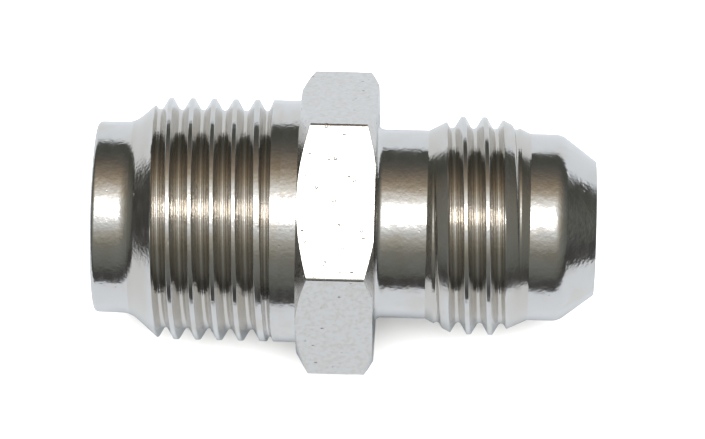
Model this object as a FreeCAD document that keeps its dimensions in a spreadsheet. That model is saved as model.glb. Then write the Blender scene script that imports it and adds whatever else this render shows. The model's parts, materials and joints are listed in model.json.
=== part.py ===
import FreeCAD, Part
import math
import os

import Sketcher

# Hex nipple: an adapter turned from one hexagonal bar and nickel plated.
#
# Axis along X. The port end, a pilot nose and a straight thread for a flare
# port, points to -X. The flare end, a thread and a 37 degree cone, points to
# +X. The hexagon lies on one flat with its corners to +Y and -Y. The origin is
# under the middle of the length, on the plane that the flat rests on.
#
# Every body is drawn with X counted from the port end and radius as Y, and its
# Placement then carries it to the row's frame. Bodies share the stations along
# the axis, so neighbours meet face to face.

DOCUMENT = FreeCAD.newDocument("hex_nipple")

# ---------------------------------------------------------------- sizes

SIZES = [
    # alias, value, note
    ("hex_across_flats", "17.4625", "mm, 11/16 in"),
    ("hex_width", "5.01", "mm along the axis"),
    ("hex_chamfer_angle", "30", "degrees from the face"),
    ("flare_face_step", "0.34", "mm, flare side face circle over the flats"),
    ("bore_diameter", "7.54", "mm, straight through"),
    ("port_thread_diameter", "15.875", "mm, 5/8 in"),
    ("port_thread_pitch", "1.4111", "mm, 18 per inch"),
    ("port_thread_length", "9.85", "mm, lead cone, thread and run-out"),
    ("port_lead_angle", "41", "degrees, lead cone to the axis"),
    ("run_out_turns", "1", "turns over which the groove climbs out"),
    ("run_out_pitch", "1.0", "mm, lead of the groove as it climbs out"),
    ("run_out_margin", "0.2", "mm, groove end to the shank"),
    ("run_out_lift", "0.1", "mm, groove end above the crests"),
    ("port_clocking", "0.2", "mm, groove start from the port end"),
    ("shank_length", "1.11", "mm, plain diameter up to the hexagon"),
    ("pilot_length", "2.4", "mm"),
    ("pilot_clearance", "0.892", "mm, pilot nose under the thread roots"),
    ("pilot_corner_radius", "0.3", "mm"),
    ("seat_rim_wall", "0.83", "mm, rim left round the seat mouth"),
    ("seat_angle", "45", "degrees, seat cone to the axis"),
    ("neck_length", "3.33", "mm, hexagon to the flare thread"),
    ("neck_clearance", "0.2", "mm, neck under the thread roots"),
    ("neck_fillet_radius", "0.45", "mm, neck to hexagon"),
    ("flare_thread_diameter", "14.2875", "mm, 9/16 in"),
    ("flare_thread_pitch", "1.4111", "mm, 18 per inch"),
    ("flare_thread_length", "6.68", "mm, both ramps and the thread between"),
    ("flare_entry_angle", "25", "degrees, ramp on the nose side"),
    ("flare_exit_angle", "27.5", "degrees, ramp on the neck side"),
    ("flare_clocking", "0.05", "mm, groove start from the neck's end"),
    ("land_length", "2.02", "mm, plain land before the cone"),
    ("land_clearance", "0.266", "mm, land under the thread roots"),
    ("flare_cone_angle", "37", "degrees, cone to the axis"),
    ("flare_corner_radius", "1.3", "mm, land to cone"),
    ("flare_rim_wall", "0.61", "mm, rim left round the bore"),
    ("thread_flank_angle", "30", "degrees, flank to the radius"),
    ("thread_depth_ratio", "0.5413", "of the pitch"),
    ("thread_crest_ratio", "0.125", "of the pitch"),
    ("cutter_height", "0.4", "mm, cutting profiles above the metal"),
]

SHEET = DOCUMENT.addObject("Spreadsheet::Sheet", "Dimensions")
for row, (alias, value, note) in enumerate(SIZES, start=1):
    SHEET.set("A%d" % row, alias)
    SHEET.set("B%d" % row, value)
    SHEET.setAlias("B%d" % row, alias)
    SHEET.set("C%d" % row, note)
DOCUMENT.recompute()


def size(alias):
    """The sheet's cell, as it is written in an expression."""
    return "Dimensions." + alias


def degrees(alias):
    return "(%s * 1 deg)" % size(alias)


def number(expression):
    """What an expression gives now, as a plain number."""
    result = SHEET.evalExpression(expression)
    return float(getattr(result, "Value", result))


# Radii, as expressions.

def root_radius(thread):
    """Radius at the bottom of the port or flare thread's groove."""
    return "(%s / 2 - %s * %s)" % (
        size(thread + "_thread_diameter"),
        size("thread_depth_ratio"),
        size(thread + "_thread_pitch"),
    )


HEX_RADIUS = "(%s / 2)" % size("hex_across_flats")
HEX_CORNER = "(%s / sqrt(3))" % size("hex_across_flats")
BORE_RADIUS = "(%s / 2)" % size("bore_diameter")
PORT_RADIUS = "(%s / 2)" % size("port_thread_diameter")
FLARE_RADIUS = "(%s / 2)" % size("flare_thread_diameter")
PILOT_RADIUS = "(%s - %s)" % (root_radius("port"), size("pilot_clearance"))
SEAT_RADIUS = "(%s - %s)" % (PILOT_RADIUS, size("seat_rim_wall"))
NECK_RADIUS = "(%s - %s)" % (root_radius("flare"), size("neck_clearance"))
LAND_RADIUS = "(%s - %s)" % (root_radius("flare"), size("land_clearance"))
RIM_RADIUS = "(%s + %s)" % (BORE_RADIUS, size("flare_rim_wall"))


# Stations along the axis from the port end, as expressions.

def cone_run(low, high, angle):
    """Length of a cone between two radii."""
    return "((%s - %s) / tan(%s))" % (high, low, degrees(angle))


SEAT_DEPTH = cone_run(BORE_RADIUS, SEAT_RADIUS, "seat_angle")
PILOT_END = size("pilot_length")
LEAD_END = PILOT_END + " + " + cone_run(PILOT_RADIUS, PORT_RADIUS, "port_lead_angle")
PORT_END = PILOT_END + " + " + size("port_thread_length")
HEX_START = PORT_END + " + " + size("shank_length")
HEX_END = HEX_START + " + " + size("hex_width")
NECK_END = HEX_END + " + " + size("neck_length")
EXIT_END = NECK_END + " + " + cone_run(NECK_RADIUS, FLARE_RADIUS, "flare_exit_angle")
FLARE_END = NECK_END + " + " + size("flare_thread_length")
ENTRY_START = FLARE_END + " - " + cone_run(LAND_RADIUS, FLARE_RADIUS, "flare_entry_angle")
LAND_END = FLARE_END + " + " + size("land_length")
NOSE_END = LAND_END + " + " + cone_run(RIM_RADIUS, LAND_RADIUS, "flare_cone_angle")


# ---------------------------------------------------------------- building blocks

def origin_feature(body, role):
    """A plane or axis of the body's own origin."""
    return [part for part in body.Origin.OriginFeatures if part.Role == role][0]


def new_body(node):
    """A body that carries its own drawing to the row's frame."""
    body = DOCUMENT.addObject("PartDesign::Body", node)
    body.Label = node
    body.setExpression("Placement.Base.x", "-(%s) / 2" % NOSE_END)
    body.setExpression("Placement.Base.z", HEX_RADIUS)
    return body


def new_sketch(body, name, plane):
    sketch = body.newObject("Sketcher::SketchObject", name)
    sketch.AttachmentSupport = [(origin_feature(body, plane), "")]
    sketch.MapMode = "FlatFace"
    return sketch


def bind(sketch, constraint, name, expression):
    """Add a constraint and tie its value to the sheet."""
    index = sketch.addConstraint(constraint)
    sketch.renameConstraint(index, name)
    sketch.setExpression("Constraints." + name, expression)


def draw_outline(sketch, corners, arcs=None):
    """Close an outline through the corners, each a pair of expressions.

    arcs gives, for the edge that leaves a corner, the arc's centre and its
    radius. Such an arc turns anticlockwise.
    """
    arcs = arcs or {}
    count = len(corners)
    points = [FreeCAD.Vector(number(along), number(radius), 0) for along, radius in corners]
    for index, point in enumerate(points):
        target = points[(index + 1) % count]
        if index in arcs:
            centre = FreeCAD.Vector(number(arcs[index][0]), number(arcs[index][1]), 0)
            circle = Part.Circle(centre, FreeCAD.Vector(0, 0, 1), number(arcs[index][2]))
            start = math.atan2(point.y - centre.y, point.x - centre.x)
            stop = math.atan2(target.y - centre.y, target.x - centre.x)
            sketch.addGeometry(Part.ArcOfCircle(circle, start, stop), False)
        else:
            sketch.addGeometry(Part.LineSegment(point, target), False)
    for index in range(count):
        follower = (index + 1) % count
        sketch.addConstraint(Sketcher.Constraint("Coincident", index, 2, follower, 1))
    for index, (along, radius) in enumerate(corners):
        point = points[index]
        across = Sketcher.Constraint("DistanceX", -1, 1, index, 1, point.x)
        bind(sketch, across, "along_%d" % index, along)
        upward = Sketcher.Constraint("DistanceY", -1, 1, index, 1, point.y)
        bind(sketch, upward, "radius_%d" % index, radius)
    for index, arc in arcs.items():
        bend = Sketcher.Constraint("Radius", index, number(arc[2]))
        bind(sketch, bend, "bend_%d" % index, arc[2])


def turn(body, name, corners, arcs=None):
    """Turn an outline about the axis."""
    sketch = new_sketch(body, name + "_outline", "XY_Plane")
    draw_outline(sketch, corners, arcs)
    feature = body.newObject("PartDesign::Revolution", name)
    feature.Profile = sketch
    feature.ReferenceAxis = (origin_feature(body, "X_Axis"), [""])
    feature.Angle = 360
    DOCUMENT.recompute()
    return feature


def turn_away(body, name, corners):
    """Cut an outline turned about the axis, and make sure that it cuts."""
    before = body.Shape.Volume
    sketch = new_sketch(body, name + "_outline", "XY_Plane")
    draw_outline(sketch, corners)
    feature = body.newObject("PartDesign::Groove", name)
    feature.Profile = sketch
    feature.ReferenceAxis = (origin_feature(body, "X_Axis"), [""])
    feature.Angle = 360
    DOCUMENT.recompute()
    must_shrink(body, name, before)


def round_edge(body, name, along, radius, bend):
    """Round the one circular edge at a station and radius."""
    base = body.Tip
    chosen = [
        "Edge%d" % (index + 1)
        for index, edge in enumerate(base.Shape.Edges)
        if circle_at(edge, number(along), number(radius))
    ]
    if len(chosen) != 1:
        raise RuntimeError("%s: %d edges found" % (name, len(chosen)))
    before = body.Shape.Volume
    feature = body.newObject("PartDesign::Fillet", name)
    feature.Base = (base, chosen)
    feature.setExpression("Radius", bend)
    DOCUMENT.recompute()
    must_shrink(body, name, before)


def circle_at(edge, along, radius):
    """Whether an edge is the circle about the axis at this station."""
    curve = edge.Curve
    if curve.TypeId != "Part::GeomCircle":
        return False
    near = 1e-4
    return abs(curve.Radius - radius) < near and abs(curve.Center.x - along) < near


def cut_helix(body, name, thread, start, height, pitch, cone_angle=None):
    """Cut a right-hand 60 degree groove that starts at the +Y side."""
    before = body.Shape.Volume
    crest = "(%s / 2)" % size(thread + "_thread_diameter")
    root = root_radius(thread)
    lead = size(thread + "_thread_pitch")
    flank = "tan(%s)" % degrees("thread_flank_angle")
    mouth = "(%s * (1 - %s) / 2)" % (lead, size("thread_crest_ratio"))
    bottom = "(%s - (%s - %s) * %s)" % (mouth, crest, root, flank)
    top = "(%s + %s * %s)" % (mouth, size("cutter_height"), flank)
    above = "(%s + %s)" % (crest, size("cutter_height"))
    sketch = new_sketch(body, name + "_outline", "XY_Plane")
    draw_outline(sketch, [
        ("%s - %s" % (start, bottom), root),
        ("%s + %s" % (start, bottom), root),
        ("%s + %s" % (start, top), above),
        ("%s - %s" % (start, top), above),
    ])
    feature = body.newObject("PartDesign::SubtractiveHelix", name)
    feature.Profile = sketch
    feature.ReferenceAxis = (origin_feature(body, "X_Axis"), [""])
    feature.Mode = 0
    feature.LeftHanded = False
    feature.setExpression("Pitch", pitch)
    feature.setExpression("Height", height)
    if cone_angle:
        feature.setExpression("Angle", cone_angle)
    DOCUMENT.recompute()
    must_shrink(body, name, before)


def must_shrink(body, name, before):
    if body.Shape.Volume > before - 1e-6:
        raise RuntimeError("%s cuts nothing" % name)


# ---------------------------------------------------------------- sub-parts

def pilot_nose():
    """Smooth nose of the port end, with the conical seat in its mouth."""
    body = new_body("pilot_nose")
    turn(body, "nose", [
        ("0", SEAT_RADIUS),
        ("0", PILOT_RADIUS),
        (PILOT_END, PILOT_RADIUS),
        (PILOT_END, BORE_RADIUS),
        (SEAT_DEPTH, BORE_RADIUS),
    ])
    round_edge(body, "nose_corner", "0", PILOT_RADIUS, size("pilot_corner_radius"))
    return body


def port_thread():
    """Lead cone and thread of the port end, washing out towards the shank."""
    body = new_body("port_thread")
    turn(body, "blank", [
        (PILOT_END, BORE_RADIUS),
        (PILOT_END, PILOT_RADIUS),
        (LEAD_END, PORT_RADIUS),
        (PORT_END, PORT_RADIUS),
        (PORT_END, BORE_RADIUS),
    ])
    pitch = size("port_thread_pitch")
    run_out = "(%s * %s)" % (size("run_out_turns"), size("run_out_pitch"))
    groove_end = "(%s - %s - %s)" % (PORT_END, size("run_out_margin"), run_out)
    turns = "ceil((%s - %s) / %s)" % (groove_end, size("port_clocking"), pitch)
    height = "(%s * %s)" % (turns, pitch)
    start = "(%s - %s)" % (groove_end, height)
    cut_helix(body, "thread", "port", start, height, pitch)
    rise = "(%s - %s + %s)" % (PORT_RADIUS, root_radius("port"), size("run_out_lift"))
    climb = "atan(%s / %s)" % (rise, run_out)
    cut_helix(body, "run_out", "port", groove_end, run_out, size("run_out_pitch"), climb)
    return body


def port_shank():
    """Plain diameter between the port thread and the hexagon."""
    body = new_body("port_shank")
    turn(body, "shank", [
        (PORT_END, BORE_RADIUS),
        (PORT_END, PORT_RADIUS),
        (HEX_START, PORT_RADIUS),
        (HEX_START, BORE_RADIUS),
    ])
    return body


def wrench_hex():
    """Hexagon for the wrench, with both faces chamfered at the corners."""
    body = new_body("wrench_hex")
    outline = new_sketch(body, "hexagon_outline", "YZ_Plane")
    outline.setExpression("AttachmentOffset.Base.z", HEX_START)
    draw_outline(outline, [
        ("%s * cos(%d deg)" % (HEX_CORNER, turned), "%s * sin(%d deg)" % (HEX_CORNER, turned))
        for turned in range(0, 360, 60)
    ])
    pad = body.newObject("PartDesign::Pad", "hexagon")
    pad.Profile = outline
    pad.setExpression("Length", size("hex_width"))
    DOCUMENT.recompute()
    turn_away(body, "bore", [
        ("%s - %s" % (HEX_START, size("cutter_height")), "0"),
        ("%s - %s" % (HEX_START, size("cutter_height")), BORE_RADIUS),
        ("%s + %s" % (HEX_END, size("cutter_height")), BORE_RADIUS),
        ("%s + %s" % (HEX_END, size("cutter_height")), "0"),
    ])
    outside = "(%s + %s)" % (HEX_CORNER, size("cutter_height"))
    slope = "tan(%s)" % degrees("hex_chamfer_angle")
    flare_circle = "(%s + %s)" % (HEX_RADIUS, size("flare_face_step"))
    port_run = "((%s - %s) * %s)" % (outside, HEX_RADIUS, slope)
    flare_run = "((%s - %s) * %s)" % (outside, flare_circle, slope)
    turn_away(body, "port_chamfer", [
        (HEX_START, HEX_RADIUS),
        ("%s + %s" % (HEX_START, port_run), outside),
        (HEX_START, outside),
    ])
    turn_away(body, "flare_chamfer", [
        (HEX_END, flare_circle),
        (HEX_END, outside),
        ("%s - %s" % (HEX_END, flare_run), outside),
    ])
    return body


def flare_neck():
    """Relief between the hexagon and the flare thread, filleted at the hexagon."""
    body = new_body("flare_neck")
    fillet = size("neck_fillet_radius")
    fillet_end = "%s + %s" % (HEX_END, fillet)
    fillet_top = "%s + %s" % (NECK_RADIUS, fillet)
    turn(body, "neck", [
        (HEX_END, BORE_RADIUS),
        (HEX_END, fillet_top),
        (fillet_end, NECK_RADIUS),
        (NECK_END, NECK_RADIUS),
        (NECK_END, BORE_RADIUS),
    ], arcs={1: (fillet_end, fillet_top, fillet)})
    return body


def flare_thread():
    """Thread of the flare end, between a ramp from the neck and one to the land."""
    body = new_body("flare_thread")
    turn(body, "blank", [
        (NECK_END, BORE_RADIUS),
        (NECK_END, NECK_RADIUS),
        (EXIT_END, FLARE_RADIUS),
        (ENTRY_START, FLARE_RADIUS),
        (FLARE_END, LAND_RADIUS),
        (FLARE_END, BORE_RADIUS),
    ])
    pitch = size("flare_thread_pitch")
    start = "(%s + %s - %s)" % (NECK_END, size("flare_clocking"), pitch)
    turns = "(ceil(%s / %s) + 1)" % (size("flare_thread_length"), pitch)
    cut_helix(body, "thread", "flare", start, "(%s * %s)" % (turns, pitch), pitch)
    return body


def flare_nose():
    """Plain land and the flare cone that the tube is drawn onto."""
    body = new_body("flare_nose")
    turn(body, "nose", [
        (FLARE_END, BORE_RADIUS),
        (FLARE_END, LAND_RADIUS),
        (LAND_END, LAND_RADIUS),
        (NOSE_END, RIM_RADIUS),
        (NOSE_END, BORE_RADIUS),
    ])
    round_edge(body, "cone_corner", LAND_END, LAND_RADIUS, size("flare_corner_radius"))
    return body


SUB_PARTS = [
    pilot_nose(),
    port_thread(),
    port_shank(),
    wrench_hex(),
    flare_neck(),
    flare_thread(),
    flare_nose(),
]

# ---------------------------------------------------------------- checks and output

DOCUMENT.recompute()
for item in DOCUMENT.Objects:
    if "Invalid" in item.State or "Error" in item.State:
        raise RuntimeError("%s did not build: %s" % (item.Label, item.State))
for body in SUB_PARTS:
    if body.Shape.isNull() or not body.Shape.isValid():
        raise RuntimeError("%s has no valid shape" % body.Label)
    if len(body.Shape.Solids) != 1:
        raise RuntimeError("%s is not one solid" % body.Label)

os.makedirs("parts", exist_ok=True)
for body in SUB_PARTS:
    body.Shape.exportStep("parts/%s.step" % body.Label)
    box = body.Shape.BoundBox
    print("%-13s volume %8.2f mm3, x %7.3f to %7.3f" % (
        body.Label, body.Shape.Volume, box.XMin, box.XMax))
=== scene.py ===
import json
import math

import bmesh
import bpy
from mathutils import Matrix, Vector


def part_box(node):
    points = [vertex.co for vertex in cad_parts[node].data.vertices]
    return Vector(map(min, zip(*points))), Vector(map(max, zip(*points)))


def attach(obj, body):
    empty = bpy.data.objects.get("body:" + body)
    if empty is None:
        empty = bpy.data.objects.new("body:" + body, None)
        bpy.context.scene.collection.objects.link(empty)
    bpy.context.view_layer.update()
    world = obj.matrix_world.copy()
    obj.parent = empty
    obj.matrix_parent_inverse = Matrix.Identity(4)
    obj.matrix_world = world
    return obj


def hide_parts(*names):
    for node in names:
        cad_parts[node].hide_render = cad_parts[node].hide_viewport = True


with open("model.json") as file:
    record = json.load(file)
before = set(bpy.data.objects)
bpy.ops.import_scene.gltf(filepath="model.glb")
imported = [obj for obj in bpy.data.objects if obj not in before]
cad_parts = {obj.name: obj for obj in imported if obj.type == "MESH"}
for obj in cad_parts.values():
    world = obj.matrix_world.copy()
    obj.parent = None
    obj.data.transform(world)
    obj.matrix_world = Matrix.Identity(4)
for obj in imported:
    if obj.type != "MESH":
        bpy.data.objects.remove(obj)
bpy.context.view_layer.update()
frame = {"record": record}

# A nickel plated hex nipple, turned from one hexagonal bar: a pilot nose and a
# 5/8-18 thread for a flare port, a wrench hexagon, and a 9/16-18 thread with a
# 37 degree cone for a flared tube. Lengths are in metres. Each section of the
# bar is one closed piece that stands for the CAD node of its name.

MM = 0.001
SEGMENTS = 360            # faces round a plain section, a multiple of six
THREAD_SEGMENTS = 240     # faces round one turn of a thread
ARC_STEP = 9              # most degrees of a rounded corner in one straight step
LONGEST_STEP = 0.1 * MM   # longest straight step along a thread's outline
SHARP = math.radians(28)  # edges that turn more than this stay crisp
FLAT_CORNERS = 12         # a face with this many corners or more is a milled flat
GUARD = 0.012 * MM        # flat border kept beside each rounded corner
WELD = 0.0005 * MM        # points nearer than this become one
ON_PLANE = 0.00001 * MM   # points nearer to a cut than this lie on it


# ---------------------------------------------------------------- sizes

def along(node):
    """Where a section starts and ends along the axis."""
    low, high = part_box(node)
    return low.x, high.x


def outer(node):
    """Largest radius of a section."""
    low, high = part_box(node)
    return (high.y - low.y) / 2


def mount(name):
    """The record's mount of that name."""
    return next(m for m in frame["record"]["mounts"] if m["name"] == name)


BORE = mount("flow_bore")["dims"]["r_mm"] * MM
BORE_BREAK = 0.1 * MM     # bend on the edges of the bore's mouths

HEX_LOW, HEX_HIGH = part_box("wrench_hex")
AXIS = Vector((0, 0, (HEX_LOW.z + HEX_HIGH.z) / 2))
HEX_APOTHEM = (HEX_HIGH.z - HEX_LOW.z) / 2
HEX_CORNER = (HEX_HIGH.y - HEX_LOW.y) / 2
HEX_BLANK = HEX_CORNER + 0.3 * MM    # the disc that the hexagon is milled from
HEX_CHAMFER = math.radians(30)
HEX_FACE_STEP = {"port": -0.05 * MM, "flare": 0.34 * MM}    # face radius less apothem
HEX_EDGE_BREAK = 0.13 * MM

PITCH = 25.4 * MM / 18
THREAD_DEPTH = 0.5413 * PITCH
CREST_WIDTH = 0.27 * MM
CREST_BEND = 0.06 * MM
FLANK_ANGLE = math.radians(30)
TRIM_BLEND = 0.03 * MM    # softens the edge where a thread meets a cone or ramp

EDGE_BREAK = 0.07 * MM    # what tumbling leaves on a turned edge
PILOT = outer("pilot_nose")
PILOT_BEND = 0.3 * MM
SEAT_RIM = PILOT - 0.83 * MM

PORT_MAJOR = outer("port_shank")
LEAD_START = along("port_thread")[0]
LEAD_ANGLE = math.radians(41)
LEAD_HOLLOW = 1.6 * MM    # radius in the corner between nose and lead cone
LEAD_HOLLOW_REACH = LEAD_HOLLOW * math.tan(LEAD_ANGLE / 2)
LEAD_HOLLOW_STEPS = 8
RUN_OUT_PITCH = 1.0 * MM  # lead of the port thread's last turn
RUN_OUT_MARGIN = 0.2 * MM  # from the run-out's end to the shank
RUN_OUT_RISE = THREAD_DEPTH + 0.1 * MM    # lifts the groove clear of the crest

NECK_FILLET = 0.45 * MM
NECK_FILLET_STEPS = 14
NECK = outer("flare_neck") - NECK_FILLET
NECK_RAMP = math.radians(27.5)
FLARE_MAJOR = outer("flare_thread")
FLARE_GROOVE = 0.05 * MM  # from the neck to a groove's middle, on the +Y side
LAND_RAMP = math.radians(25)
LAND = outer("flare_nose")
LAND_BEND = 1.3 * MM      # radius between the land and the flare cone
FLARE_CONE = math.radians(37)
FLARE_RIM = BORE + 0.61 * MM


# ---------------------------------------------------------------- outlines

def rounded(corners):
    """Points of a closed outline whose corners are (along, radius, bend)."""
    points = []
    count = len(corners)
    for index, (x, radius, bend) in enumerate(corners):
        corner = Vector((x, radius))
        if not bend:
            points.append(corner)
            continue
        back = (Vector(corners[index - 1][:2]) - corner).normalized()
        ahead = (Vector(corners[(index + 1) % count][:2]) - corner).normalized()
        half_turn = (math.pi - back.angle(ahead)) / 2
        reach = bend * math.tan(half_turn)
        centre = corner + (back + ahead).normalized() * bend / math.cos(half_turn)
        first, last = corner + back * reach, corner + ahead * reach
        spoke, final = first - centre, last - centre
        sweep = math.atan2(spoke.x * final.y - spoke.y * final.x, spoke.dot(final))
        steps = max(3, math.ceil(math.degrees(abs(sweep)) / ARC_STEP))
        points.append(first + back * GUARD)
        for step in range(steps + 1):
            points.append(centre + Matrix.Rotation(sweep * step / steps, 2) @ spoke)
        points.append(last + ahead * GUARD)
    return points


def divided(points, longest):
    """The open outline's points, with long runs divided evenly."""
    result = [points[0]]
    for start, stop in zip(points, points[1:]):
        parts = max(1, math.ceil((stop - start).length / longest))
        result += [start.lerp(stop, part / parts) for part in range(1, parts + 1)]
    return result


def lead_cone(place):
    """Radius at a place on the nose, its hollow corner or the lead cone."""
    run = place - LEAD_START + LEAD_HOLLOW_REACH
    if run < LEAD_HOLLOW * math.sin(LEAD_ANGLE):
        return PILOT + LEAD_HOLLOW - math.sqrt(LEAD_HOLLOW ** 2 - max(run, 0) ** 2)
    return PILOT + (place - LEAD_START) * math.tan(LEAD_ANGLE)


def thread_form(major):
    """Outline of one pitch from crest to crest, with a round groove between."""
    mouth = (PITCH - CREST_WIDTH) / 2
    apex = mouth / math.tan(FLANK_ANGLE)
    return rounded([
        (-PITCH / 2, major, 0),
        (-mouth, major, CREST_BEND),
        (0, major - apex, apex - THREAD_DEPTH),
        (mouth, major, CREST_BEND),
        (PITCH / 2, major, 0),
    ])


# ---------------------------------------------------------------- machining

def spin(mesh, points, closed, lead=0.0, steps=SEGMENTS):
    """Turn an outline once about the axis, climbing by lead."""
    rim = [mesh.verts.new((point.x, 0, point.y)) for point in points]
    pairs = list(zip(rim, rim[1:]))
    if closed:
        pairs.append((rim[-1], rim[0]))
    edges = [mesh.edges.new(pair) for pair in pairs]
    bmesh.ops.spin(
        mesh, geom=rim + edges, cent=(0, 0, 0), axis=(1, 0, 0),
        dvec=(lead / steps, 0, 0), angle=2 * math.pi, steps=steps,
        use_merge=not lead, use_normal_flip=False, use_duplicate=False,
    )


def weld(mesh):
    """Make one point of those that lie together."""
    bmesh.ops.remove_doubles(mesh, verts=mesh.verts[:], dist=WELD)


def cut_away(mesh, point, outward):
    """Drop what is outside a plane, and give the edges along the cut."""
    cut = bmesh.ops.bisect_plane(
        mesh, geom=mesh.verts[:] + mesh.edges[:] + mesh.faces[:], dist=ON_PLANE,
        plane_co=point, plane_no=outward, clear_outer=True,
    )
    return [item for item in cut["geom_cut"] if isinstance(item, bmesh.types.BMEdge)]


def verts_of(geometry):
    """The points among what an operator gives back."""
    return [item for item in geometry if isinstance(item, bmesh.types.BMVert)]


def distance_out(vert):
    """Distance of a point from the axis."""
    return math.hypot(vert.co.y, vert.co.z)


def set_distance_out(vert, radius):
    """Move a point straight out or in to a radius."""
    scale = radius / distance_out(vert)
    vert.co.y *= scale
    vert.co.z *= scale


def finished(mesh, node, material):
    """Make a closed mesh about the axis into the piece that stands for a node."""
    weld(mesh)
    bmesh.ops.recalc_face_normals(mesh, faces=mesh.faces[:])
    bmesh.ops.translate(mesh, verts=mesh.verts[:], vec=AXIS)
    for face in mesh.faces:
        face.smooth = len(face.verts) < FLAT_CORNERS
    for edge in mesh.edges:
        if len(edge.link_faces) == 2 and edge.calc_face_angle(0) > SHARP:
            edge.smooth = False
    data = bpy.data.meshes.new(node + "_piece")
    mesh.to_mesh(data)
    mesh.free()
    piece = bpy.data.objects.new(node + "_piece", data)
    bpy.context.scene.collection.objects.link(piece)
    data.materials.append(material)
    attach(piece, "root")
    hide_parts(node)
    return piece


# ---------------------------------------------------------------- plain sections

def turned_piece(node, material, outline):
    """Turn a closed outline into a plain section."""
    mesh = bmesh.new()
    spin(mesh, outline, closed=True)
    return finished(mesh, node, material)


def pilot_nose(material):
    """Smooth nose with the conical seat in its mouth."""
    start, end = along("pilot_nose")
    seat_end = start + (SEAT_RIM - BORE)
    places = [
        end - LEAD_HOLLOW_REACH * (1 - step / LEAD_HOLLOW_STEPS)
        for step in range(LEAD_HOLLOW_STEPS + 1)
    ]
    return turned_piece("pilot_nose", material, rounded([
        (start, SEAT_RIM, EDGE_BREAK),
        (start, PILOT, PILOT_BEND),
        *[(place, lead_cone(place), 0) for place in places],
        (end, BORE, 0),
        (seat_end, BORE, BORE_BREAK),
    ]))


def port_shank(material):
    """Plain stretch between the port thread and the hexagon."""
    start, end = along("port_shank")
    return turned_piece("port_shank", material, rounded([
        (start, BORE, 0),
        (start, PORT_MAJOR, 0),
        (end, PORT_MAJOR, 0),
        (end, BORE, 0),
    ]))


def flare_neck(material):
    """Relief behind the flare thread, filleted where it meets the hexagon."""
    start, end = along("flare_neck")
    centre = Vector((start + NECK_FILLET, NECK + NECK_FILLET))
    spoke = Vector((-NECK_FILLET, 0))
    fillet = [
        centre + Matrix.Rotation(math.pi / 2 * step / NECK_FILLET_STEPS, 2) @ spoke
        for step in range(NECK_FILLET_STEPS + 1)
    ]
    return turned_piece("flare_neck", material, [
        Vector((start, BORE)),
        *fillet,
        fillet[-1] + Vector((GUARD, 0)),
        Vector((end, NECK)),
        Vector((end, BORE)),
    ])


def flare_nose(material):
    """Plain land and the cone that the tube's flare is pulled onto."""
    start, end = along("flare_nose")
    land_end = end - (LAND - FLARE_RIM) / math.tan(FLARE_CONE)
    return turned_piece("flare_nose", material, rounded([
        (start, BORE, 0),
        (start, LAND, 0),
        (land_end, LAND, LAND_BEND),
        (end, FLARE_RIM, EDGE_BREAK),
        (end, BORE, BORE_BREAK),
    ]))


# ---------------------------------------------------------------- hexagon

def hex_blank(start, end):
    """A disc with both faces chamfered."""
    slope = math.tan(HEX_CHAMFER)
    port_face = HEX_APOTHEM + HEX_FACE_STEP["port"]
    flare_face = HEX_APOTHEM + HEX_FACE_STEP["flare"]
    mesh = bmesh.new()
    spin(mesh, [Vector(point) for point in (
        (start, BORE),
        (start, port_face),
        (start + (HEX_BLANK - port_face) * slope, HEX_BLANK),
        (end - (HEX_BLANK - flare_face) * slope, HEX_BLANK),
        (end, flare_face),
        (end, BORE),
    )], closed=True)
    weld(mesh)
    return mesh


def mill_flats(mesh):
    """Cut the six flats, with a corner towards +Y."""
    for sixth in range(6):
        angle = math.radians(30 + 60 * sixth)
        outward = Vector((0, math.cos(angle), math.sin(angle)))
        rim = cut_away(mesh, outward * HEX_APOTHEM, outward)
        bmesh.ops.contextual_create(mesh, geom=rim)
    bmesh.ops.recalc_face_normals(mesh, faces=mesh.faces[:])


def break_corners(mesh):
    """Round the six edges that run along the bar."""
    corners = [
        edge for edge in mesh.edges
        if abs((edge.verts[0].co - edge.verts[1].co).normalized().x) > 0.99
        and edge.calc_face_angle(0) > math.radians(50)
    ]
    bmesh.ops.bevel(
        mesh, geom=corners, offset=HEX_EDGE_BREAK, offset_type="OFFSET", segments=5,
        affect="EDGES", profile=0.5, material=-1, clamp_overlap=True,
    )


def wrench_hex(material):
    """Wrench hexagon, as wide across the flats as the bar."""
    mesh = hex_blank(*along("wrench_hex"))
    mill_flats(mesh)
    break_corners(mesh)
    return finished(mesh, "wrench_hex", material)


# ---------------------------------------------------------------- threads

def wound(major, groove, start, end):
    """A thread from before start to past end, open at both ends.

    groove is where a groove's middle crosses the +Y side.
    """
    first = groove + PITCH / 4
    while first > start - PITCH:
        first -= PITCH
    turns = math.ceil((end - first) / PITCH) + 1
    form = divided(thread_form(major), LONGEST_STEP)
    mesh = bmesh.new()
    spin(mesh, [point + Vector((first, 0)) for point in form], False, PITCH, THREAD_SEGMENTS)
    winding = mesh.verts[:] + mesh.edges[:] + mesh.faces[:]
    for turn in range(1, turns):
        copy = bmesh.ops.duplicate(mesh, geom=winding)["geom"]
        bmesh.ops.translate(mesh, verts=verts_of(copy), vec=(turn * PITCH, 0, 0))
    return mesh


def soft_least(first, second, blend):
    """The smaller value, with the change from one to the other rounded."""
    overlap = max(blend - abs(first - second), 0)
    return min(first, second) - overlap * overlap / (4 * blend)


def share_done(turns):
    """Turns travelled since the run-out began, held between none and one."""
    return min(max(turns, 0), 1)


def groove_rise(vert, run_out):
    """How far the groove at a point has climbed out."""
    turned = math.atan2(vert.co.z, vert.co.y) / (2 * math.pi)
    groove_turn = (vert.co.x - run_out) / PITCH - turned
    return share_done(round(groove_turn) + turned) * RUN_OUT_RISE


def lost_lead(place, run_out):
    """How far a place moves back because the last turn has a shorter lead."""
    return share_done((place - run_out) / PITCH) * (PITCH - RUN_OUT_PITCH)


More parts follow.
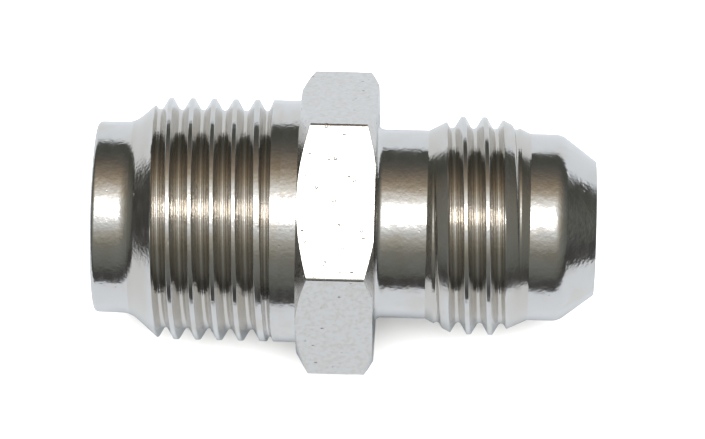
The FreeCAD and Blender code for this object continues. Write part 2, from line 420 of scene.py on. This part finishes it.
def trim_round(mesh, major, envelope, run_out):
    """Bring every point of a thread inside its envelope."""
    for vert in mesh.verts:
        radius = distance_out(vert)
        if run_out is not None:
            radius += groove_rise(vert, run_out)
            vert.co.x -= lost_lead(vert.co.x, run_out)
        set_distance_out(vert, soft_least(min(radius, major), envelope(vert.co.x), TRIM_BLEND))


def close_bore(mesh):
    """Carry both open ends in to the bore and join them along it."""
    rims = [edge for edge in mesh.edges if edge.is_boundary]
    faces = bmesh.ops.extrude_edge_only(mesh, edges=rims)["geom"]
    for vert in verts_of(faces):
        set_distance_out(vert, BORE)
    mouths = [edge for edge in mesh.edges if edge.is_boundary]
    bmesh.ops.bridge_loops(mesh, edges=mouths)


def threaded_piece(node, material, major, groove, envelope, run_out=None):
    """A threaded section.

    envelope gives the largest radius at a place along the axis. run_out is the
    place, on the +Y side, where the groove starts to climb out over one turn.
    """
    start, end = along(node)
    mesh = wound(major, groove, start, end)
    trim_round(mesh, major, envelope, run_out)
    weld(mesh)
    cut_away(mesh, (start, 0, 0), (-1, 0, 0))
    cut_away(mesh, (end, 0, 0), (1, 0, 0))
    close_bore(mesh)
    return finished(mesh, node, material)


def port_thread(material):
    """Thread of the port end, from its lead cone to its run-out."""
    end = along("port_thread")[1]
    run_out = end - RUN_OUT_MARGIN - RUN_OUT_PITCH
    return threaded_piece("port_thread", material, PORT_MAJOR, run_out, lead_cone, run_out)


def flare_thread(material):
    """Thread of the flare end, with a ramp at each end."""
    start, end = along("flare_thread")
    neck_slope, land_slope = math.tan(NECK_RAMP), math.tan(LAND_RAMP)

    def ramps(place):
        from_neck = NECK + max(place - start, 0) * neck_slope
        from_land = LAND + max(end - place, 0) * land_slope
        return min(from_neck, from_land)

    return threaded_piece("flare_thread", material, FLARE_MAJOR, start + FLARE_GROOVE, ramps)


# ---------------------------------------------------------------- patterns

def add(tree, kind, **settings):
    """A new shader node with these settings."""
    made = tree.nodes.new("ShaderNode" + kind)
    for name, value in settings.items():
        setattr(made, name, value)
    return made


def calculate(tree, operation, *values):
    """A Math node on values that are sockets or numbers."""
    made = add(tree, "Math", operation=operation)
    for socket, value in zip(made.inputs, values):
        if isinstance(value, bpy.types.NodeSocket):
            tree.links.new(value, socket)
        else:
            socket.default_value = value
    return made.outputs[0]


def between(tree, value, low, high, to_low=0.0, to_high=1.0):
    """Carry a range of a value over to another range, and stop at its ends."""
    made = add(tree, "MapRange", interpolation_type="SMOOTHSTEP")
    for socket, number in zip(made.inputs[1:5], (low, high, to_low, to_high)):
        socket.default_value = number
    tree.links.new(value, made.inputs[0])
    return made.outputs[0]


def tinted(tree, factor, plain, tint):
    """One colour going over to another."""
    made = add(tree, "Mix", data_type="RGBA")
    tree.links.new(factor, made.inputs["Factor"])
    colours = [socket for socket in made.inputs if socket.type == "RGBA"]
    for socket, colour in zip(colours, (plain, tint)):
        if isinstance(colour, bpy.types.NodeSocket):
            tree.links.new(colour, socket)
        else:
            socket.default_value = (*colour, 1)
    return next(socket for socket in made.outputs if socket.type == "RGBA")


def scaled(tree, spacing, stretch=(1, 1, 1), slant=0.0):
    """Object coordinates, in steps of spacing that are longer where stretched."""
    where = add(tree, "TexCoord")
    mapping = add(tree, "Mapping", vector_type="POINT")
    mapping.inputs["Scale"].default_value = [1 / (spacing * long) for long in stretch]
    mapping.inputs["Rotation"].default_value = (0, 0, slant)
    tree.links.new(where.outputs["Object"], mapping.inputs["Vector"])
    return mapping.outputs[0]


def cloud(tree, spacing, stretch=(1, 1, 1)):
    """Random light and dark, about a half on average."""
    made = add(tree, "TexNoise")
    made.inputs["Scale"].default_value = 1.0
    made.inputs["Detail"].default_value = 2.0
    tree.links.new(scaled(tree, spacing, stretch), made.inputs["Vector"])
    return made.outputs[0]


def pits(tree, spacing, size, share, stretch=(1, 1, 1), slant=0.0):
    """Separate spots, one where a pit is and nought elsewhere.

    A share of the cells, a spacing wide, has a pit whose radius is size cells.
    """
    made = add(tree, "TexVoronoi")
    made.inputs["Scale"].default_value = 1.0
    tree.links.new(scaled(tree, spacing, stretch, slant), made.inputs["Vector"])
    split = add(tree, "SeparateColor")
    tree.links.new(made.outputs["Color"], split.inputs[0])
    chosen = calculate(tree, "LESS_THAN", split.outputs[0], share)
    spot = between(tree, made.outputs["Distance"], 0.3 * size, size, 1.0, 0.0)
    return calculate(tree, "MULTIPLY", spot, chosen)


def from_axis(tree):
    """Distance from the axis of the nipple, in metres."""
    where = add(tree, "TexCoord")
    split = add(tree, "SeparateXYZ")
    tree.links.new(where.outputs["Object"], split.inputs[0])
    rise = calculate(tree, "SUBTRACT", split.outputs["Z"], AXIS.z)
    squares = calculate(tree, "MULTIPLY", rise, rise)
    across = calculate(tree, "MULTIPLY", split.outputs["Y"], split.outputs["Y"])
    return calculate(tree, "SQRT", calculate(tree, "ADD", squares, across))


# ---------------------------------------------------------------- finishes

NICKEL = (0.64, 0.62, 0.595)
WARM_NICKEL = (0.60, 0.56, 0.505)
# Painted shade: a darker, warmer plate towards the root of a thread's groove stands in for the
# shade and warm reflections between its flanks.
GROOVE_PAINTED_SHADE = (0.585, 0.55, 0.5)
PIT_NICKEL = (0.24, 0.215, 0.185)
PAINTED_SHADE_TOP = 0.15 * MM     # below the crest, where the groove's painted shade begins
TOOL_MARKS = (1, 50, 50)   # fine along the axis, long around it
DRAWN_MARKS = (40, 1, 1)   # long along the bar
SCRATCH = (1.5, 0.6, 0.6)  # longer than it is wide
SCRATCH_SLANT = math.radians(14)


def stained(tree, pattern, low, high):
    """Plate that gets warmer as a pattern goes from low to high."""
    return tinted(tree, between(tree, pattern, low, high), NICKEL, WARM_NICKEL)


def polish(tree, pattern, smoothest, roughest):
    """Roughness that follows a pattern."""
    return between(tree, pattern, 0.3, 0.7, smoothest, roughest)


def plated(name, colour, roughness, relief):
    """Nickel plate: relief is pairs of a pattern and its height in metres."""
    material = bpy.data.materials.new(name)
    material.use_nodes = True
    tree = material.node_tree
    shader = tree.nodes["Principled BSDF"]
    shader.inputs["Metallic"].default_value = 1.0
    tree.links.new(colour(tree), shader.inputs["Base Color"])
    tree.links.new(roughness(tree), shader.inputs["Roughness"])
    height = 0.0
    for pattern, depth in relief(tree):
        height = calculate(tree, "MULTIPLY_ADD", pattern, depth, height)
    bump = add(tree, "Bump")
    bump.inputs["Distance"].default_value = 1.0
    tree.links.new(height, bump.inputs["Height"])
    tree.links.new(bump.outputs[0], shader.inputs["Normal"])
    return material


def turned_nickel():
    """Plated over a turned surface: fine rings under a slight orange peel."""
    return plated(
        "turned_nickel",
        lambda tree: stained(tree, cloud(tree, 1.6 * MM), 0.45, 0.75),
        lambda tree: polish(tree, cloud(tree, 0.5 * MM, (1, 3, 3)), 0.10, 0.19),
        lambda tree: (
            (cloud(tree, 0.25 * MM), 0.011 * MM),
            (cloud(tree, 0.05 * MM, TOOL_MARKS), 0.0022 * MM),
            (cloud(tree, 1.2 * MM), 0.02 * MM),
            (pits(tree, 0.7 * MM, size=0.12, share=0.25), -0.005 * MM),
        ),
    )


def threaded_nickel(name, major):
    """Plated over a cut thread, slightly pitted, with painted shade: darker and warmer deeper
    in the groove.
    """
    def colour(tree):
        root, top = major - THREAD_DEPTH, major - PAINTED_SHADE_TOP
        # painted shade, darker and warmer towards the groove's root
        depth = between(tree, from_axis(tree), root, top, 1.0, 0.0)
        plate = stained(tree, cloud(tree, 0.9 * MM, (1, 2, 2)), 0.4, 0.7)
        return tinted(tree, depth, plate, GROOVE_PAINTED_SHADE)

    return plated(
        name,
        colour,
        lambda tree: polish(tree, cloud(tree, 0.4 * MM, (1, 4, 4)), 0.10, 0.20),
        lambda tree: (
            (cloud(tree, 0.22 * MM), 0.009 * MM),
            (cloud(tree, 0.04 * MM, TOOL_MARKS), 0.002 * MM),
            (pits(tree, 0.8 * MM, size=0.14, share=0.3, stretch=(1, 2, 2)), -0.008 * MM),
        ),
    )


def drawn_nickel():
    """Plated over the drawn flats: a fine grain with pits and short scratches."""
    def scratches(tree):
        return pits(tree, 0.45 * MM, 0.2, 0.14, SCRATCH, SCRATCH_SLANT)

    def colour(tree):
        plate = stained(tree, cloud(tree, 0.3 * MM), 0.35, 0.75)
        return tinted(tree, scratches(tree), plate, PIT_NICKEL)

    return plated(
        "drawn_nickel",
        colour,
        lambda tree: polish(tree, cloud(tree, 0.3 * MM), 0.14, 0.26),
        lambda tree: (
            (cloud(tree, 0.2 * MM), 0.008 * MM),
            (cloud(tree, 0.06 * MM, DRAWN_MARKS), 0.0015 * MM),
            (pits(tree, 0.6 * MM, size=0.2, share=0.2), -0.02 * MM),
            (scratches(tree), -0.025 * MM),
        ),
    )


# ---------------------------------------------------------------- studio

CAMERA_AIM = Vector((0.45 * MM, 0.2 * MM, AXIS.z))
CAMERA_DISTANCE = 0.3035
CAMERA_LENS = 236          # millimetres, on a sensor 36 wide
CAMERA_ELEVATION = math.radians(81.5)
CAMERA_SWING = math.radians(1.3)
CAMERA_ROLL = math.radians(1.4)

FLOOR_COLOUR = (0.9, 0.9, 0.9)
FLOOR_HALF = 6
FLOOR_HEIGHT = -0.4 * MM
CARD_COLOUR = (0.28, 0.30, 0.325)
CARD_HALF = 0.155
CARD_HEIGHT = -0.2 * MM

LAMP_PLACE = (0, 0.2, 1.5)
LAMP_SIZE = 1.6
LAMP_POWER = 80            # watts

# Brightness of the room at angles in degrees from the ceiling light. The wall
# behind the nipple, towards +Y, is warmer than the others and brighter high up.
CEILING = 8.0
CEILING_LEAN = math.radians(2.1)
CEILING_LIGHT = ((0, (CEILING,) * 3), (7, (CEILING,) * 3), (9, (2.2, 2.2, 2.2)))
WALLS = (
    *CEILING_LIGHT, (13, (1.3, 1.3, 1.3)),
    (20, (0.8, 0.84, 0.85)), (30, (0.51, 0.5, 0.45)), (45, (0.25, 0.25, 0.22)),
    (60, (0.2, 0.21, 0.2)), (75, (0.14, 0.15, 0.14)), (82, (0.07, 0.07, 0.07)),
    (180, (0.05, 0.05, 0.05)),
)
WARM_WALL = (
    *CEILING_LIGHT, (13, (1.8, 1.75, 1.7)),
    (20, (1.2, 1.15, 1.08)), (25, (0.9, 0.84, 0.76)), (30, (0.62, 0.54, 0.42)),
    (40, (0.34, 0.28, 0.21)), (60, (0.14, 0.13, 0.115)), (75, (0.085, 0.09, 0.08)),
    (180, (0.08, 0.08, 0.07)),
)


def camera():
    """Look almost straight down at the nipple, which slopes a little."""
    back = Vector((
        math.tan(CAMERA_SWING), -math.cos(CAMERA_ELEVATION), math.sin(CAMERA_ELEVATION),
    )).normalized()
    right = Vector((1, 0, 0)) - back * back.x
    right.normalize()
    data = bpy.data.cameras.new("camera")
    data.lens = CAMERA_LENS
    data.sensor_width = 36
    data.clip_start = 0.01
    data.clip_end = 20
    eye = bpy.data.objects.new("camera", data)
    upright = Matrix((right, back.cross(right), back)).transposed().to_4x4()
    turn = Matrix.Rotation(CAMERA_ROLL, 4, "Z")
    eye.matrix_world = Matrix.Translation(CAMERA_AIM + back * CAMERA_DISTANCE) @ upright @ turn
    bpy.context.scene.collection.objects.link(eye)
    bpy.context.scene.camera = eye


def sheet(name, half, height, colour):
    """A matt square sheet that lies flat."""
    mesh = bmesh.new()
    bmesh.ops.create_grid(mesh, x_segments=1, y_segments=1, size=half)
    data = bpy.data.meshes.new(name)
    mesh.to_mesh(data)
    mesh.free()
    piece = bpy.data.objects.new(name, data)
    piece.location.z = height
    bpy.context.scene.collection.objects.link(piece)
    material = bpy.data.materials.new(name)
    material.use_nodes = True
    shader = material.node_tree.nodes["Principled BSDF"]
    shader.inputs["Base Color"].default_value = (*colour, 1)
    shader.inputs["Roughness"].default_value = 0.9
    shader.inputs["Specular IOR Level"].default_value = 0.1
    data.materials.append(material)
    return piece


def floor():
    """A wide pale floor, and a grey card that only the metal's reflections show."""
    sheet("floor", FLOOR_HALF, FLOOR_HEIGHT, FLOOR_COLOUR).visible_glossy = False
    card = sheet("card", CARD_HALF, CARD_HEIGHT, CARD_COLOUR)
    card.visible_camera = card.visible_diffuse = card.visible_shadow = False


def brightness(tree, share, walls):
    """A colour ramp over half a turn, dimmed to the ramp's own range."""
    made = add(tree, "ValToRGB")
    elements = made.color_ramp.elements
    while len(elements) < len(walls):
        elements.new(1.0)
    for element, (degrees, colour) in zip(elements, walls):
        element.position = degrees / 180
        element.color = (*[value / CEILING for value in colour], 1)
    tree.links.new(share, made.inputs[0])
    return made.outputs[0]


def room():
    """A soft ceiling light in a dim room."""
    world = bpy.data.worlds.new("room")
    bpy.context.scene.world = world
    world.use_nodes = True
    tree = world.node_tree
    background = tree.nodes["Background"]
    where = add(tree, "TexCoord")
    height = add(tree, "VectorMath", operation="DOT_PRODUCT")
    tree.links.new(where.outputs["Generated"], height.inputs[0])
    height.inputs[1].default_value = (0, math.sin(CEILING_LEAN), math.cos(CEILING_LEAN))
    tilt = calculate(tree, "ARCCOSINE", height.outputs["Value"])
    share = calculate(tree, "DIVIDE", tilt, math.pi)
    split = add(tree, "SeparateXYZ")
    tree.links.new(where.outputs["Generated"], split.inputs[0])
    behind = between(tree, split.outputs["Y"], 0.0, 0.8)
    walls = brightness(tree, share, WALLS)
    colour = tinted(tree, behind, walls, brightness(tree, share, WARM_WALL))
    tree.links.new(colour, background.inputs["Color"])
    background.inputs["Strength"].default_value = CEILING


def lamp():
    """A large soft light for the floor."""
    data = bpy.data.lights.new("floor_light", "AREA")
    data.shape = "DISK"
    data.size = LAMP_SIZE
    data.energy = LAMP_POWER
    light = bpy.data.objects.new("floor_light", data)
    light.location = LAMP_PLACE
    light.visible_glossy = False
    light.visible_camera = False
    bpy.context.scene.collection.objects.link(light)


# ---------------------------------------------------------------- assembly

camera()
floor()
room()
lamp()
TURNED = turned_nickel()
pilot_nose(TURNED)
port_thread(threaded_nickel("port_thread_nickel", PORT_MAJOR))
port_shank(TURNED)
wrench_hex(drawn_nickel())
flare_neck(TURNED)
flare_thread(threaded_nickel("flare_thread_nickel", FLARE_MAJOR))
flare_nose(TURNED)
bpy.context.scene.view_settings.view_transform = "Standard"
